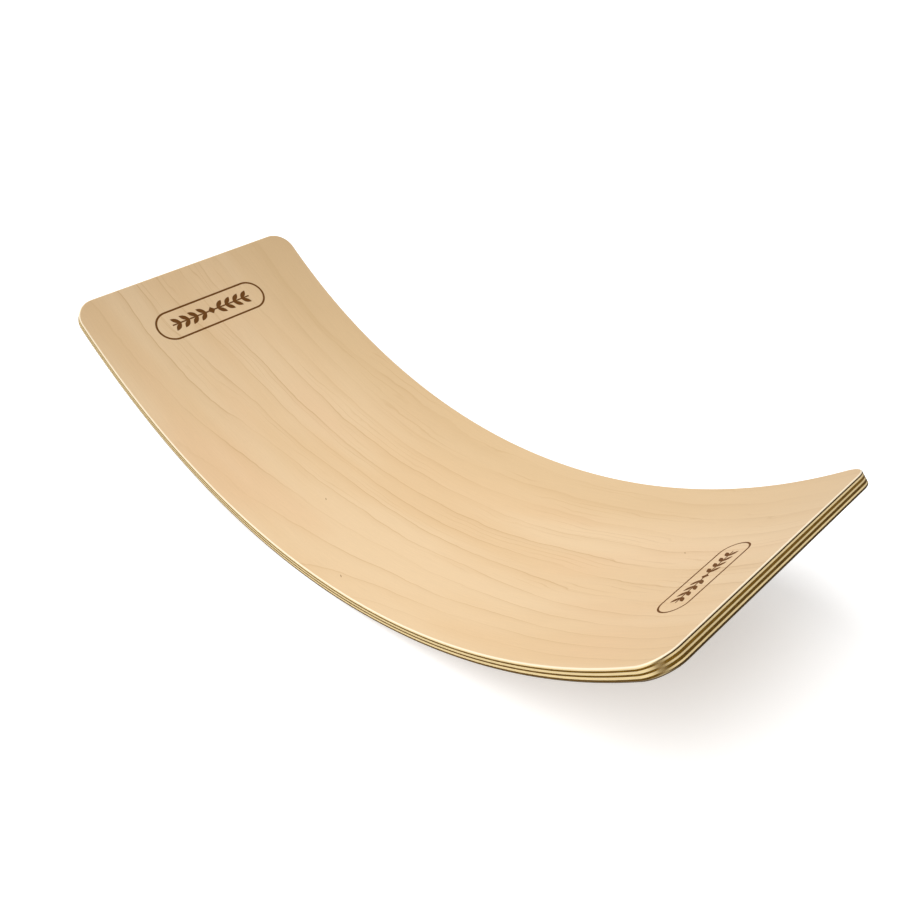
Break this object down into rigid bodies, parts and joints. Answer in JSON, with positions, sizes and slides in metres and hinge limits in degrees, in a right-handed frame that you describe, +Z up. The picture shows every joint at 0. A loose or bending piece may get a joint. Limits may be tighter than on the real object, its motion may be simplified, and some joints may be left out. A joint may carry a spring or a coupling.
{
  "type": "balance board",
  "caption": "Curved balance board of moulded plywood with rounded corners. It rocks end to end on its convex underside, and turned over it makes a low bridge.",
  "frame": {"origin": "middle of the line on which the convex underside touches the floor, with the board level", "axes": "+X along the board towards one end, +Y across its width, +Z up; the board is curved about an axis parallel to Y above it"},
  "size_m": [0.822, 0.3, 0.1696],
  "materials": {
    "face_wood": "pale birch or beech veneer, satin clear lacquer",
    "long_grain_wood": "veneer edge, grain along the board, sanded and clear lacquered",
    "cross_grain_wood": "veneer edge, grain across the board, sanded and clear lacquered",
    "cured_glue": "thin dark line of cured glue"
  },
  "bodies": {
    "root": {"face_veneer": "face_wood", "glue_film_1": "cured_glue", "upper_cross_ply": "cross_grain_wood", "glue_film_2": "cured_glue", "upper_long_ply": "long_grain_wood", "glue_film_3": "cured_glue", "centre_cross_ply": "cross_grain_wood", "glue_film_4": "cured_glue", "lower_long_ply": "long_grain_wood", "glue_film_5": "cured_glue", "lower_cross_ply": "cross_grain_wood", "glue_film_6": "cured_glue", "back_veneer": "face_wood"}
  },
  "joints": []
}
